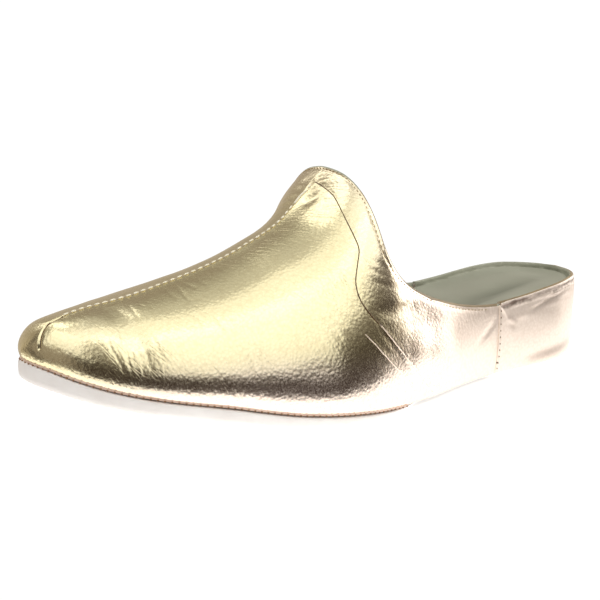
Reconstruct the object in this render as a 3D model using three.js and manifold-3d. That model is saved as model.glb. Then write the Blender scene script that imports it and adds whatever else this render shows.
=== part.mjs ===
// A closed-toe, backless leather slipper for the left foot: a high vamp with a centre seam that
// ends in a round tongue, low sides, a covered wedge heel, a padded footbed and a soft pale sole.
// +X runs from heel to toe, +Y to the wearer's left (the outer side) and +Z up, in millimetres.
// The origin is on the floor under the middle of the heel seat.

import * as THREE from "three";
import { mergeVertices } from "three/addons/utils/BufferGeometryUtils.js";
import Module from "manifold-3d";

const wasm = await Module();
wasm.setup();

// Driving dimensions
const length = 248.5; // back of the heel to the tip of the toe
const ballWidth = 86; // across the ball of the foot
const heelWidth = 57; // across the heel at its rim
const instepHeight = 88; // floor to the top of the tongue
const heelHeight = 36.5; // floor to the rim at the back of the heel
const quarterHeight = 31.4; // floor to the rim at the quarter seam
const toeSpring = 21; // how far the sole's tip is lifted off the floor
const toeSwing = 7; // how far the tip lies to the inner side of the heel's centre line
const tongueAlong = 125; // back of the heel to the top of the tongue
const seamAlong = 61.5; // back of the heel to the quarter seam
const seatCentre = 28; // back of the heel to the origin
const upperWall = 1.8; // outer leather and lining together
const rimWall = 2.2; // folded leather edge round the heel
const soleAtBall = 5.8;
const soleAtToe = 7.6;
const soleAtShank = 1;
const soleSetBack = 0.8; // sole's edge inside the widest line of the upper
const shankSetBack = 7; // further inside behind the ball, where the thin sole hides
const soleRound = 2.6; // radius of the soft sole's edge
const padThickness = 3.4;
const padRound = 1.2;
const padDish = 1.4; // how far the footbed's middle lies below its edge
const padBelowRim = 1.6; // the footbed's edge below the rim round the heel
const heelTaper = 1.6; // how far the heel draws in from rim to floor
const tongueShift = 3.9; // how far the tongue's middle lies to the inner side
const seamShift = 2; // how far the centre seam lies to the outer side over the forefoot
const innerSwell = 15; // how far the inner side swells beside the tongue
const tuckIn = 2.0; // how far the upper turns in at the sole's edge
const tuckHeight = 3.2; // height over which it turns in
const seamRidge = 0.6; // how far the centre seam stands up
const seamRidgeHalf = 1.6; // half the width of that ridge
const seamFromTop = 8; // the ridge ends this far in front of the tongue's top
const seamFromToe = 9; // and this far behind the tip of the toe
const coreEdge = 0.9; // thickness of that edge
const fit = 0.3; // gap between pieces that touch

// Finest steps of the lofts
const outlineSteps = 50;
const vampStations = 34;
const flapStations = 10;
const archToCorner = 7;
const archToSole = 6;

// The last's outline seen from above. Half widths are shares of the heel's and the ball's width.
const outline = [
  { at: 0.0, seat: 0.0, outer: 0.0, inner: 0.0 },
  { at: 0.02, seat: 0.262, outer: 0.0, inner: 0.0 },
  { at: 0.06, seat: 0.415, outer: 0.0, inner: 0.0 },
  { at: 0.12, seat: 0.488, outer: 0.0, inner: 0.0 },
  { at: 0.2, seat: 0.5, outer: 0.0, inner: 0.0 },
  { at: 0.26, seat: 0.4, outer: 0.081, inner: 0.064 },
  { at: 0.32, seat: 0.2, outer: 0.251, inner: 0.199 },
  { at: 0.38, seat: 0.0, outer: 0.434, inner: 0.324 },
  { at: 0.44, seat: 0.0, outer: 0.474, inner: 0.329 },
  { at: 0.5, seat: 0.0, outer: 0.515, inner: 0.352 },
  { at: 0.56, seat: 0.0, outer: 0.556, inner: 0.381 },
  { at: 0.6, seat: 0.0, outer: 0.565, inner: 0.407 },
  { at: 0.66, seat: 0.0, outer: 0.541, inner: 0.45 },
  { at: 0.72, seat: 0.0, outer: 0.508, inner: 0.466 },
  { at: 0.78, seat: 0.0, outer: 0.478, inner: 0.452 },
  { at: 0.84, seat: 0.0, outer: 0.436, inner: 0.402 },
  { at: 0.9, seat: 0.0, outer: 0.366, inner: 0.32 },
  { at: 0.95, seat: 0.0, outer: 0.273, inner: 0.229 },
  { at: 0.98, seat: 0.0, outer: 0.173, inner: 0.147 },
  { at: 1.0, seat: 0.0, outer: 0.0, inner: 0.0 },
];

// How far the centre line has swung to the inner side, as a share of the toe's swing.
const swing = [
  { at: 0.0, share: 0.0 },
  { at: 0.5, share: 0.0 },
  { at: 0.66, share: 0.1 },
  { at: 0.78, share: 0.4 },
  { at: 0.9, share: 0.82 },
  { at: 1.0, share: 1.0 },
];

// The sole: its lift as a share of the toe spring, its thickness as shares of the three sizes, and
// how far it is set back as a share of the set-back at the shank.
const soleRows = [
  { at: 0.0, lift: 0.0, shank: 1.0, ball: 0.0, toe: 0.0, back: 1.0 },
  { at: 0.4, lift: 0.0, shank: 1.0, ball: 0.0, toe: 0.0, back: 1.0 },
  { at: 0.47, lift: 0.0, shank: 0.95, ball: 0.05, toe: 0.0, back: 0.4 },
  { at: 0.52, lift: 0.0, shank: 0.75, ball: 0.25, toe: 0.0, back: 0.05 },
  { at: 0.57, lift: 0.0, shank: 0.45, ball: 0.55, toe: 0.0, back: 0.0 },
  { at: 0.61, lift: 0.0, shank: 0.22, ball: 0.78, toe: 0.0, back: 0.0 },
  { at: 0.66, lift: 0.03, shank: 0.05, ball: 0.95, toe: 0.0, back: 0.0 },
  { at: 0.71, lift: 0.13, shank: 0.0, ball: 1.0, toe: 0.0, back: 0.0 },
  { at: 0.78, lift: 0.32, shank: 0.0, ball: 1.0, toe: 0.0, back: 0.0 },
  { at: 0.84, lift: 0.45, shank: 0.0, ball: 1.0, toe: 0.0, back: 0.0 },
  { at: 0.9, lift: 0.6, shank: 0.0, ball: 0.85, toe: 0.15, back: 0.0 },
  { at: 0.95, lift: 0.77, shank: 0.0, ball: 0.5, toe: 0.5, back: 0.0 },
  { at: 0.98, lift: 0.9, shank: 0.0, ball: 0.2, toe: 0.8, back: 0.0 },
  { at: 1.0, lift: 1.0, shank: 0.0, ball: 0.0, toe: 1.0, back: 0.0 },
];

// The crest of the vamp, as a share of the instep height above the sole's edge. Fullness is how
// far the arch's sides stand up on the outer and the inner side: the lower, the squarer. The rows
// before and behind the tongue's own row keep their places in step with the top of the tongue.
const tongueRow = 0.503;
const arch = [
  { at: 0.0, crest: 1.36, outer: 0.87, inner: 0.87, swell: 0.0 },
  { at: 0.25, crest: 1.2, outer: 0.87, inner: 0.87, swell: 0.0 },
  { at: 0.28, crest: 1.02, outer: 0.87, inner: 0.87, swell: 0.05 },
  { at: 0.32, crest: 0.86, outer: 0.87, inner: 0.87, swell: 0.15 },
  { at: 0.38, crest: 0.8, outer: 0.87, inner: 0.84, swell: 0.35 },
  { at: 0.44, crest: 0.82, outer: 0.86, inner: 0.76, swell: 0.6 },
  { at: 0.47, crest: 0.88, outer: 0.83, inner: 0.69, swell: 0.85 },
  { at: 0.503, crest: 0.97, outer: 0.8, inner: 0.64, swell: 1.0 },
  { at: 0.524, crest: 0.885, outer: 0.82, inner: 0.67, swell: 0.72 },
  { at: 0.563, crest: 0.768, outer: 0.87, inner: 0.8, swell: 0.08 },
  { at: 0.592, crest: 0.708, outer: 0.91, inner: 0.88, swell: 0.0 },
  { at: 0.654, crest: 0.614, outer: 0.95, inner: 0.92, swell: 0.0 },
  { at: 0.696, crest: 0.545, outer: 0.95, inner: 0.94, swell: 0.0 },
  { at: 0.74, crest: 0.48, outer: 0.93, inner: 0.94, swell: 0.0 },
  { at: 0.791, crest: 0.413, outer: 0.9, inner: 0.92, swell: 0.0 },
  { at: 0.839, crest: 0.361, outer: 0.87, inner: 0.9, swell: 0.0 },
  { at: 0.887, crest: 0.308, outer: 0.85, inner: 0.87, swell: 0.0 },
  { at: 0.94, crest: 0.236, outer: 0.83, inner: 0.84, swell: 0.0 },
  { at: 0.966, crest: 0.19, outer: 0.84, inner: 0.84, swell: 0.0 },
  { at: 0.982, crest: 0.142, outer: 0.88, inner: 0.88, swell: 0.0 },
  { at: 1.0, crest: 0.0, outer: 0.92, inner: 0.92, swell: 0.0 },
];

// The line of the centre seam seen from above, in shares of the tongue's shift to the inner side,
// the seam's shift to the outer side and the toe's swing.
const seamLine = [
  { at: 0.0, tongue: 0.0, seam: 0.0, toe: 0.0 },
  { at: 0.3, tongue: 0.1, seam: 0.0, toe: 0.0 },
  { at: 0.5, tongue: 1.0, seam: 0.0, toe: 0.0 },
  { at: 0.545, tongue: 0.92, seam: 0.0, toe: 0.0 },
  { at: 0.571, tongue: 0.72, seam: 0.0, toe: 0.0 },
  { at: 0.612, tongue: 0.15, seam: 0.3, toe: 0.0 },
  { at: 0.66, tongue: 0.0, seam: 0.88, toe: 0.0 },
  { at: 0.78, tongue: 0.0, seam: 1.05, toe: 0.0 },
  { at: 0.9, tongue: 0.0, seam: 0.75, toe: 0.0 },
  { at: 0.945, tongue: 0.0, seam: 0.7, toe: 0.0 },
  { at: 0.985, tongue: 0.0, seam: 0.0, toe: 0.2 },
  { at: 1.0, tongue: 0.0, seam: 0.0, toe: 1.0 },
];

// The collar's edge seen from the side, from the top of the tongue to the quarter seam. Back is a
// share of the way from tongue to seam, and drop a share of the fall from tongue to rim.
const collar = [
  { back: 0.0, drop: 0.0 },
  { back: 0.009, drop: 0.045 },
  { back: 0.021, drop: 0.12 },
  { back: 0.025, drop: 0.2 },
  { back: 0.026, drop: 0.332 },
  { back: 0.027, drop: 0.454 },
  { back: 0.034, drop: 0.54 },
  { back: 0.078, drop: 0.635 },
  { back: 0.15, drop: 0.714 },
  { back: 0.236, drop: 0.779 },
  { back: 0.34, drop: 0.838 },
  { back: 0.46, drop: 0.887 },
  { back: 0.6, drop: 0.936 },
  { back: 0.73, drop: 0.968 },
  { back: 0.87, drop: 0.992 },
  { back: 1.0, drop: 1.0 },
];
const cornerRow = 6; // the row where the collar turns from the tongue to the side

// The rim round the heel: how far it is on its way from the quarter's height to the heel's.
const rimRows = [
  { at: 0.0, share: 1.0 },
  { at: 0.06, share: 0.97 },
  { at: 0.11, share: 0.74 },
  { at: 0.146, share: 0.52 },
  { at: 0.19, share: 0.24 },
  { at: 0.246, share: 0.0 },
];

// The footbed's height: 1 just under the rim, 0 on the sole alone. The wedge's core thins out and
// ends where the footbed has all but come down to the sole.
const coreEnd = { at: 0.515 };
const bedRows = [
  { at: 0.25, share: 1.0 },
  { at: 0.31, share: 0.9 },
  { at: 0.38, share: 0.62 },
  { at: 0.45, share: 0.3 },
  { at: 0.51, share: 0.08 },
  { at: 0.55, share: 0.0 },
];

// How far the footbed lies inside the wall, in shares of the tuck, where the last draws in over it.
const bedEase = [
  { at: 0.0, share: 0.1 },
  { at: 0.25, share: 0.15 },
  { at: 0.4, share: 0.5 },
  { at: 0.6, share: 0.4 },
  { at: 0.85, share: 0.5 },
  { at: 0.95, share: 0.9 },
  { at: 1.0, share: 1.4 },
];

// A share of the length as an angle, so that a half width that grows evenly with the angle makes
// a round toe and a round heel.
const angleOf = (at) => Math.acos(1 - 2 * Math.min(Math.max(at, 0), 1));

// A smooth curve through one column of a table that doesn't swing past its rows.
function column(rows, name, key = "at", place = angleOf) {
  const x = rows.map((row) => place(row[key]));
  const y = rows.map((row) => row[name]);
  const rise = x.slice(1).map((v, i) => (y[i + 1] - y[i]) / (v - x[i]));
  const slope = x.map((v, i) => {
    if (i === 0) return rise[0];
    if (i === x.length - 1) return rise[i - 1];
    if (rise[i - 1] * rise[i] <= 0) return 0;
    const before = x[i] - x[i - 1];
    const after = x[i + 1] - x[i];
    const early = 2 * after + before;
    const late = after + 2 * before;
    return (early + late) / (early / rise[i - 1] + late / rise[i]);
  });
  return (share) => {
    const v = Math.min(Math.max(place(share), x[0]), x.at(-1));
    let i = 0;
    while (i < x.length - 2 && v > x[i + 1]) i += 1;
    const step = x[i + 1] - x[i];
    const t = (v - x[i]) / step;
    const up = t * t * (3 - 2 * t);
    return (
      y[i] * (1 - up) +
      y[i + 1] * up +
      step * (slope[i] * t * (1 - t) ** 2 - slope[i + 1] * t * t * (1 - t))
    );
  };
}

const straight = (share) => share;
const seatShare = column(outline, "seat");
const outerShare = column(outline, "outer");
const innerShare = column(outline, "inner");
const swingShare = column(swing, "share");
const liftShare = column(soleRows, "lift");
const shankShare = column(soleRows, "shank");
const ballShare = column(soleRows, "ball");
const toeShare = column(soleRows, "toe");
const tongueAt = tongueAlong / length;
const seamAt = seamAlong / length;
const inStep = (curve) => (at) => {
  const inFront = tongueRow + ((at - tongueAt) * (1 - tongueRow)) / (1 - tongueAt);
  return curve(at < tongueAt ? (at * tongueRow) / tongueAt : inFront);
};
const crestShare = inStep(column(arch, "crest"));
const outerFullness = inStep(column(arch, "outer"));
const innerFullness = inStep(column(arch, "inner"));
const swellShare = inStep(column(arch, "swell"));
const seamTongue = inStep(column(seamLine, "tongue"));
const seamOuter = inStep(column(seamLine, "seam"));
const seamToe = column(seamLine, "toe");
const backShare = column(soleRows, "back");
const rimShare = column(rimRows, "share");
const bedShare = column(bedRows, "share");
const easeShare = column(bedEase, "share");

// Side is +1 on the outer side of the foot and -1 on the inner side.
const centreY = (at) => -toeSwing * swingShare(at);
const seamY = (at) =>
  seamShift * seamOuter(at) - tongueShift * seamTongue(at) - toeSwing * seamToe(at);
function sideY(at, side) {
  const share = side > 0 ? outerShare(at) : innerShare(at);
  return centreY(at) + side * (seatShare(at) * heelWidth + share * ballWidth);
}

// The outward direction of the outline seen from above, from two places just beside it.
function outlineNormal(at, side) {
  const nearby = 0.01;
  const edge = (angle) => {
    const share = (1 - Math.cos(angle)) / 2;
    return new THREE.Vector2(share * length, sideY(share, Math.sin(angle) >= 0 ? 1 : -1));
  };
  const angle = side * angleOf(at);
  const run = edge(angle + nearby).sub(edge(angle - nearby)).normalize();
  return new THREE.Vector2(-run.y, run.x);
}

const soleBottom = (at) => toeSpring * liftShare(at);
const soleThickness = (at) =>
  soleAtShank * shankShare(at) + soleAtBall * ballShare(at) + soleAtToe * toeShare(at);
const soleTop = (at) => soleBottom(at) + soleThickness(at);
const wallFoot = (at) => soleTop(at) + fit;
const rimHeight = (at) => quarterHeight + (heelHeight - quarterHeight) * rimShare(at);

// How far the wall draws in below the widest line, at a height above its foot.
function drawIn(at, above) {
  const heelShare = Math.min(Math.max((coreEnd.at - at) / 0.25, 0), 1);
  const taper = heelTaper * heelShare * Math.max(0, 1 - above / quarterHeight);
  return taper + tuckIn * Math.exp(-above / tuckHeight);
}

// A point of the upper's outer face. Turn is 0 at the sole's edge and a quarter turn on the crest.
function upperPoint(at, turn, side) {
  const above = instepHeight * crestShare(at) * Math.sin(turn);
  const fullness = side > 0 ? outerFullness(at) : innerFullness(at);
  const swell = side > 0 ? 0 : innerSwell * swellShare(at) * Math.sin(2 * turn);
  const reach = Math.abs(sideY(at, side) - seamY(at)) + swell;
  const narrow = Math.max(Math.cos(turn), 0) ** fullness;
  const pull = outlineNormal(at, side).multiplyScalar(drawIn(at, above) * narrow);
  const along = at * length - pull.x;
  return new THREE.Vector3(
    along - seatCentre,
    seamY(at) + side * reach * narrow - pull.y,
    wallFoot(along / length) + above,
  );
}

// The turn at which the upper reaches a height.
function turnAt(at, height) {
  const share = (height - wallFoot(at)) / (instepHeight * crestShare(at));
  return Math.asin(Math.min(Math.max(share, 0), 1));
}

// The outward direction of the upper's face.
function upperNormal(at, turn, side) {
  const step = 0.002;
  const low = Math.min(at, 1 - step);
  const along = upperPoint(low + step * 0.5, turn, side).sub(upperPoint(low - step * 0.5, turn, side));
  const t = Math.min(turn, Math.PI / 2 - step);
  const up = upperPoint(at, t + step, side).sub(upperPoint(at, Math.max(t - step, 0), side));
  const normal = side > 0 ? up.cross(along) : along.cross(up);
  return normal.normalize();
}

// Meshes are lists of points and of triangles, joined into one closed solid at the end.
const newMesh = () => ({ points: [], faces: [] });
function addPoint(mesh, point) {
  mesh.points.push(point);
  return mesh.points.length - 1;
}
function addQuad(mesh, a, b, c, d) {
  const p = mesh.points;
  const shorter = p[a].distanceTo(p[c]) <= p[b].distanceTo(p[d]);
  if (shorter) mesh.faces.push([a, b, c], [a, c, d]);
  else mesh.faces.push([a, b, d], [b, c, d]);
}

function toGeometry(mesh) {
  const geometry = new THREE.BufferGeometry();
  const positions = mesh.points.flatMap((p) => [p.x, p.y, p.z]);
  geometry.setAttribute("position", new THREE.Float32BufferAttribute(positions, 3));
  geometry.setIndex(mesh.faces.flat());
  return geometry;
}

function toSolid(geometry) {
  const bare = new THREE.BufferGeometry();
  bare.setAttribute("position", geometry.getAttribute("position"));
  bare.setIndex(geometry.index);
  const merged = mergeVertices(bare, 1e-4);
  return new wasm.Manifold(
    new wasm.Mesh({
      numProp: 3,
      vertProperties: merged.attributes.position.array,
      triVerts: new Uint32Array(merged.index.array),
    }),
  );
}

function fromSolid(solid) {
  const { vertProperties, triVerts, numProp } = solid.getMesh();
  const points = [];
  for (let i = 0; i < vertProperties.length; i += numProp)
    points.push(vertProperties[i], vertProperties[i + 1], vertProperties[i + 2]);
  const geometry = new THREE.BufferGeometry();
  geometry.setAttribute("position", new THREE.Float32BufferAttribute(points, 3));
  geometry.setIndex([...triVerts]);
  return geometry;
}

// Stations round a plan outline: up the outer side from back to front and down the inner side.
function planStations(from, to, steps) {
  const first = angleOf(from);
  const last = angleOf(to);
  const shares = [];
  for (let i = 0; i <= steps; i += 1)
    shares.push((1 - Math.cos(first + ((last - first) * i) / steps)) / 2);
  return shares;
}

// A closed ring of points that follows the outline, drawn in by inset(at) and lifted to the height
// that belongs to each point's place along the foot.
function ring(shares, inset, height) {
  const places = [
    ...shares.map((at) => ({ at, side: 1 })),
    ...shares.filter((at) => at > 0 && at < 1).reverse().map((at) => ({ at, side: -1 })),
  ];
  return places.map(({ at, side }) => {
    const drawn = new THREE.Vector2(at * length, sideY(at, side));
    drawn.addScaledVector(outlineNormal(at, side), -inset(at));
    return new THREE.Vector3(drawn.x - seatCentre, drawn.y, height(drawn.x / length));
  });
}

// A solid through rings over the same stations, from the lowest to the highest. Its two caps are
// ladders whose rungs run across the foot.
function loftRings(shares, rings) {
  const mesh = newMesh();
  const count = rings[0].length;
  const across = (i) => (shares[0] === 0 ? (count - i) % count : count - 1 - i);
  const ids = rings.map((points) => points.map((point) => addPoint(mesh, point)));
  for (let k = 0; k + 1 < rings.length; k += 1)
    for (let i = 0; i < count; i += 1) {
      const j = (i + 1) % count;
      addQuad(mesh, ids[k][i], ids[k + 1][i], ids[k + 1][j], ids[k][j]);
    }
  const cap = (row, up) => {
    for (let i = 0; i < Math.floor(count / 2); i += 1) {
      const rungs = [row[i], row[across(i)], row[across(i + 1)], row[i + 1]];
      const corners = rungs.filter((id, k) => rungs.indexOf(id) === k);
      if (!up) corners.reverse();
      if (corners.length === 4) addQuad(mesh, ...corners);
      else if (corners.length === 3) mesh.faces.push(corners);
    }
  };
  cap(ids[0], false);
  cap(ids.at(-1), true);
  return toGeometry(mesh);
}

// The soft sole: thick and round-edged under the forefoot, thin and set back behind it.
function makeOutsole() {
  const shares = planStations(0, 1, outlineSteps);
  const setBack = (at) => soleSetBack + shankSetBack * backShare(at);
  const radius = (at) => Math.min(soleRound, soleThickness(at) * 0.55);
  const topRadius = (at) => Math.min(soleRound, soleThickness(at)) * 0.3;
  const under = [0, 0.35, 0.7, 1].map((share) => {
    const turn = (share * Math.PI) / 2;
    return ring(
      shares,
      (at) => setBack(at) + radius(at) * (1 - Math.sin(turn)),
      (at) => soleBottom(at) + radius(at) * (1 - Math.cos(turn)),
    );
  });
  const over = [
    ring(shares, setBack, (at) => soleTop(at) - topRadius(at)),
    ring(shares, (at) => setBack(at) + topRadius(at), soleTop),
  ];
  return loftRings(shares, [...under, ...over]);
}

// The footbed's top at its edge: just under the rim round the heel, the pad's own height in front.
function bedEdge(at) {
  const overSole = soleTop(at) + fit + padThickness;
  return overSole + bedShare(at) * (rimHeight(at) - padBelowRim - overSole);
}

// The wall's inner face at the rim, as an inset from the widest line.
const rimInset = sideY(seamAt, 1) - upperPoint(seamAt, turnAt(seamAt, quarterHeight), 1).y;
const bedInset = (at) => rimInset + Math.max(rimWall, upperWall) + fit + tuckIn * easeShare(at) * 0.6;

function makeInsole() {
  const shares = planStations(0, 1, outlineSteps);
  const bottom = (at) => bedEdge(at) - padThickness;
  return loftRings(shares, [
    ring(shares, (at) => bedInset(at) + padRound, bottom),
    ring(shares, bedInset, (at) => bottom(at) + padRound * 0.6),
    ring(shares, bedInset, (at) => bedEdge(at) - padRound),
    ring(shares, (at) => bedInset(at) + padRound * 0.4, (at) => bedEdge(at) - padRound * 0.25),
    ring(shares, (at) => bedInset(at) + padRound * 1.6, (at) => bedEdge(at) - padDish * 0.1),
    ring(shares, (at) => bedInset(at) + padRound * 5, (at) => bedEdge(at) - padDish * 0.85),
    ring(shares, (at) => bedInset(at) + padRound * 8, (at) => bedEdge(at) - padDish),
  ]);
}

// The covered wedge: a block with a rim round the heel, and a core that thins out to the ball
// between footbed and sole, inside the upper.
function makeWedgeHeel() {
  const bedFloor = (at) => bedEdge(at) - padThickness - fit;
  const blockFront = seamAt - fit / length;
  const blockShares = planStations(0, blockFront, Math.round(outlineSteps * 0.45));
  const wallRing = (share) => {
    const above = share * (quarterHeight - wallFoot(seamAt));
    const inset = sideY(seamAt, 1) - upperPoint(seamAt, turnAt(seamAt, wallFoot(seamAt) + above), 1).y;
    return ring(
      blockShares,
      () => inset,
      (at) => wallFoot(at) + share * (rimHeight(at) - wallFoot(at)),
    );
  };
  const block = loftRings(blockShares, [
    ring(blockShares, () => tuckIn + heelTaper + soleAtShank, wallFoot),
    ...[0.03, 0.1, 0.2, 0.4, 0.7, 0.9, 0.975].map(wallRing),
    ring(blockShares, () => rimInset + rimWall * 0.35, rimHeight),
  ]);
  const coreShares = planStations(seamAt * 0.85, coreEnd.at, Math.round(outlineSteps * 0.35));
  const coreInset = (at) => upperWall + 2 * fit + tuckIn + heelTaper * Math.min(1, (0.5 - at) / 0.25);
  const coreTop = (at) => Math.max(bedFloor(at), wallFoot(at) + coreEdge);
  const core = loftRings(coreShares, [
    ring(coreShares, (at) => coreInset(at) + fit, wallFoot),
    ring(coreShares, (at) => coreInset(at) + fit, coreTop),
  ]);
  const trayShares = planStations(0, 1, outlineSteps);
  const tray = loftRings(trayShares, [
    ring(trayShares, (at) => bedInset(at) - fit, bedFloor),
    ring(trayShares, (at) => bedInset(at) - fit, () => instepHeight),
  ]);
  return fromSolid(toSolid(block).add(toSolid(core)).subtract(toSolid(tray)));
}

// Lengths along the heel-to-toe line at which the collar passes a height, and the other way round.
const collarAlong = (row) => tongueAlong + (seamAlong - tongueAlong) * row.back;
const collarHeight = (row) => instepHeight - (instepHeight - quarterHeight) * row.drop;
const edgeRows = collar.map((row) => ({ along: collarAlong(row), height: collarHeight(row) }));
const tongueEdge = column(edgeRows.slice(0, cornerRow + 1).reverse(), "along", "height", straight);
const sideEdge = column(edgeRows.slice(cornerRow).reverse(), "height", "along", straight);
const corner = edgeRows[cornerRow];

// How much of its height the seam's ridge has at a place along the foot.
const seamStands = (along) => {
  const fade = seamFromTop / 2;
  const fromTop = (along - tongueAlong - fade) / fade;
  const fromToe = (length - seamFromToe - along) / fade;
  return Math.min(Math.max(Math.min(fromTop, fromToe), 0), 1);
};

// The upper: one wall from the sole's edge over the crest, open under the foot and behind the
// tongue, with its two sides running back to the quarter seams.
function makeUpper() {
  const mesh = newMesh();
  const quarterTurn = Math.PI / 2;
  const cornerAt = corner.along / length;
  const cornerTurn = turnAt(cornerAt, corner.height);
  const soleTurns = [];
  for (let k = 1; k <= archToSole; k += 1)
    soleTurns.push(1 - Math.sin(((k / archToSole) * Math.PI) / 2));

  // The turns of one side's columns, from the crest down to the sole.
  const turnsAt = (at, top, side) => {
    const reach = Math.max(Math.abs(sideY(at, side) - seamY(at)), 2 * seamRidgeHalf);
    const fullness = side > 0 ? outerFullness(at) : innerFullness(at);
    const ridge = Math.acos((seamRidgeHalf / reach) ** (1 / fullness));
    const turns = [quarterTurn, ridge];
    for (let k = 1; k <= archToCorner; k += 1) turns.push(ridge + ((top - ridge) * k) / archToCorner);
    return [...turns, ...soleTurns.map((share) => top * share)];
  };
  const cornerColumn = archToCorner + 1;

  const place = (at, turn, side, raised) => {
    const normal = upperNormal(at, turn, side);
    const outer = upperPoint(at, turn, side);
    const inner = outer.clone().addScaledVector(normal, -upperWall);
    if (turn < 1e-6) {
      const level = new THREE.Vector3(normal.x, normal.y, 0).normalize();
      inner.copy(outer).addScaledVector(level, -upperWall);
    }
    if (turn >= quarterTurn - 1e-9) {
      normal.y = 0;
      normal.normalize();
      inner.copy(outer).addScaledVector(normal, -upperWall);
    }
    outer.addScaledVector(normal, raised);
    return { outer: addPoint(mesh, outer), inner: addPoint(mesh, inner) };
  };

  // Full stations from the toe to the tongue. Each row runs from the inner side to the outer.
  const rows = [];
  const nose = 1 - 0.0006;
  const first = Math.PI - angleOf(nose);
  const last = Math.PI - angleOf(tongueAt);
  for (let i = 0; i <= vampStations; i += 1) {
    const t = i / vampStations;
    const spread = first + (last - first) * t;
    const stationAt = (1 + Math.cos(spread)) / 2;
    const top = quarterTurn * 0.42 + (cornerTurn - quarterTurn * 0.42) * t;
    const lean = t ** 6;
    const half = (side) =>
      turnsAt(stationAt, top, side).map((turn, j) => {
        const height = upperPoint(tongueAt, turn, side).z;
        const edge = j <= cornerColumn ? tongueEdge(height) : corner.along;
        const at = stationAt + (edge / length - tongueAt) * lean;
        const raised = j === 0 ? seamRidge * seamStands(at * length) : 0;
        return { at, turn, side, raised };
      });
    const inner = half(-1).reverse();
    const outer = half(1).slice(1);
    rows.push([...inner, ...outer].map((p) => place(p.at, p.turn, p.side, p.raised)));
  }
  const width = rows[0].length;
  const faceBoth = (a, b, c, d) => {
    addQuad(mesh, a.outer, b.outer, c.outer, d.outer);
    addQuad(mesh, d.inner, c.inner, b.inner, a.inner);
  };
  const edgeStrip = (path) => {
    for (let i = 0; i + 1 < path.length; i += 1)
      addQuad(mesh, path[i].outer, path[i].inner, path[i + 1].inner, path[i + 1].outer);
  };
  for (let i = 0; i < vampStations; i += 1)
    for (let j = 0; j + 1 < width; j += 1)
      faceBoth(rows[i][j], rows[i][j + 1], rows[i + 1][j + 1], rows[i + 1][j]);

  // The tiny nose between the two sides at the tip.
  const middle = (key) => {
    const a = mesh.points[rows[0][0][key]];
    const b = mesh.points[rows[0][width - 1][key]];
    return addPoint(mesh, a.clone().add(b).multiplyScalar(0.5));
  };
  const tip = { outer: middle("outer"), inner: middle("inner") };
  for (let j = 0; j + 1 < width; j += 1) {
    mesh.faces.push([tip.outer, rows[0][j + 1].outer, rows[0][j].outer]);
    mesh.faces.push([tip.inner, rows[0][j].inner, rows[0][j + 1].inner]);
  }

  // The sides behind the tongue: flap rows from the collar's edge down to the sole.
  const flapRows = (side) => {
    const lastRow = rows[vampStations];
    const start = side > 0 ? lastRow.slice(width - 1 - archToSole) : lastRow.slice(0, archToSole + 1).reverse();
    const flaps = [start];
    for (let i = 1; i <= flapStations; i += 1) {
      const t = (i / flapStations) ** 1.15;
      const along = corner.along + (seamAlong - corner.along) * t;
      const at = along / length;
      const top = turnAt(at, sideEdge(along));
      flaps.push([1, ...soleTurns].map((share) => place(at, top * share, side, 0)));
    }
    return flaps;
  };
  const flaps = { outer: flapRows(1), inner: flapRows(-1) };
  for (let i = 0; i < flapStations; i += 1)
    for (let k = 0; k < archToSole; k += 1) {
      const o = flaps.outer;
      const n = flaps.inner;
      faceBoth(o[i][k], o[i][k + 1], o[i + 1][k + 1], o[i + 1][k]);
      faceBoth(n[i][k + 1], n[i][k], n[i + 1][k], n[i + 1][k + 1]);
    }

  // One strip all round the wall's edge: sole's edge, quarter seam, collar, seam and sole again.
  const tongueRow = rows[vampStations];
  const outerFlap = flaps.outer;
  const innerFlap = flaps.inner;
  edgeStrip([
    tip,
    ...rows.map((row) => row[width - 1]),
    ...outerFlap.slice(1).map((row) => row.at(-1)),
    ...outerFlap.at(-1).slice(0, -1).reverse(),
    ...outerFlap.slice(0, -1).reverse().map((row) => row[0]),
    ...tongueRow.slice(archToSole + 1, width - 1 - archToSole).reverse(),
    ...innerFlap.map((row) => row[0]),
    ...innerFlap.at(-1).slice(1),
    ...innerFlap.slice(0, -1).reverse().map((row) => row.at(-1)),
    ...rows.slice(0, -1).reverse().map((row) => row[0]),
    tip,
  ]);
  return toGeometry(mesh);
}

const goldLeather = { color: 0xcdbb82, roughness: 0.32, metalness: 0.85 };
const heelLeather = { color: 0xe3c6ae, roughness: 0.35, metalness: 0.8 };
const footbedLeather = { color: 0x93958a, roughness: 0.5, metalness: 0 };
const soleFoam = { color: 0xe4e2e1, roughness: 0.8, metalness: 0 };

const slipper = new THREE.Group();
function addPiece(name, geometry, finish) {
  const piece = new THREE.Mesh(geometry, new THREE.MeshStandardMaterial(finish));
  piece.name = name;
  slipper.add(piece);
}

addPiece("outsole", makeOutsole(), soleFoam);
addPiece("wedge_heel", makeWedgeHeel(), heelLeather);
addPiece("insole", makeInsole(), footbedLeather);
addPiece("upper", makeUpper(), goldLeather);

export default slipper;
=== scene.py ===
"""A backless foil leather slipper with a centre seam, a covered wedge heel and a padded footbed.

Lengths in the tables are millimetres in the part's own frame: x from heel to toe, y to the outer
side of the foot, z up from the floor. Blender works in metres, so they are scaled on use.
"""

import math

import bmesh
import bpy
import numpy as np
from mathutils import Matrix, Vector, noise
from mathutils.bvhtree import BVHTree


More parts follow.
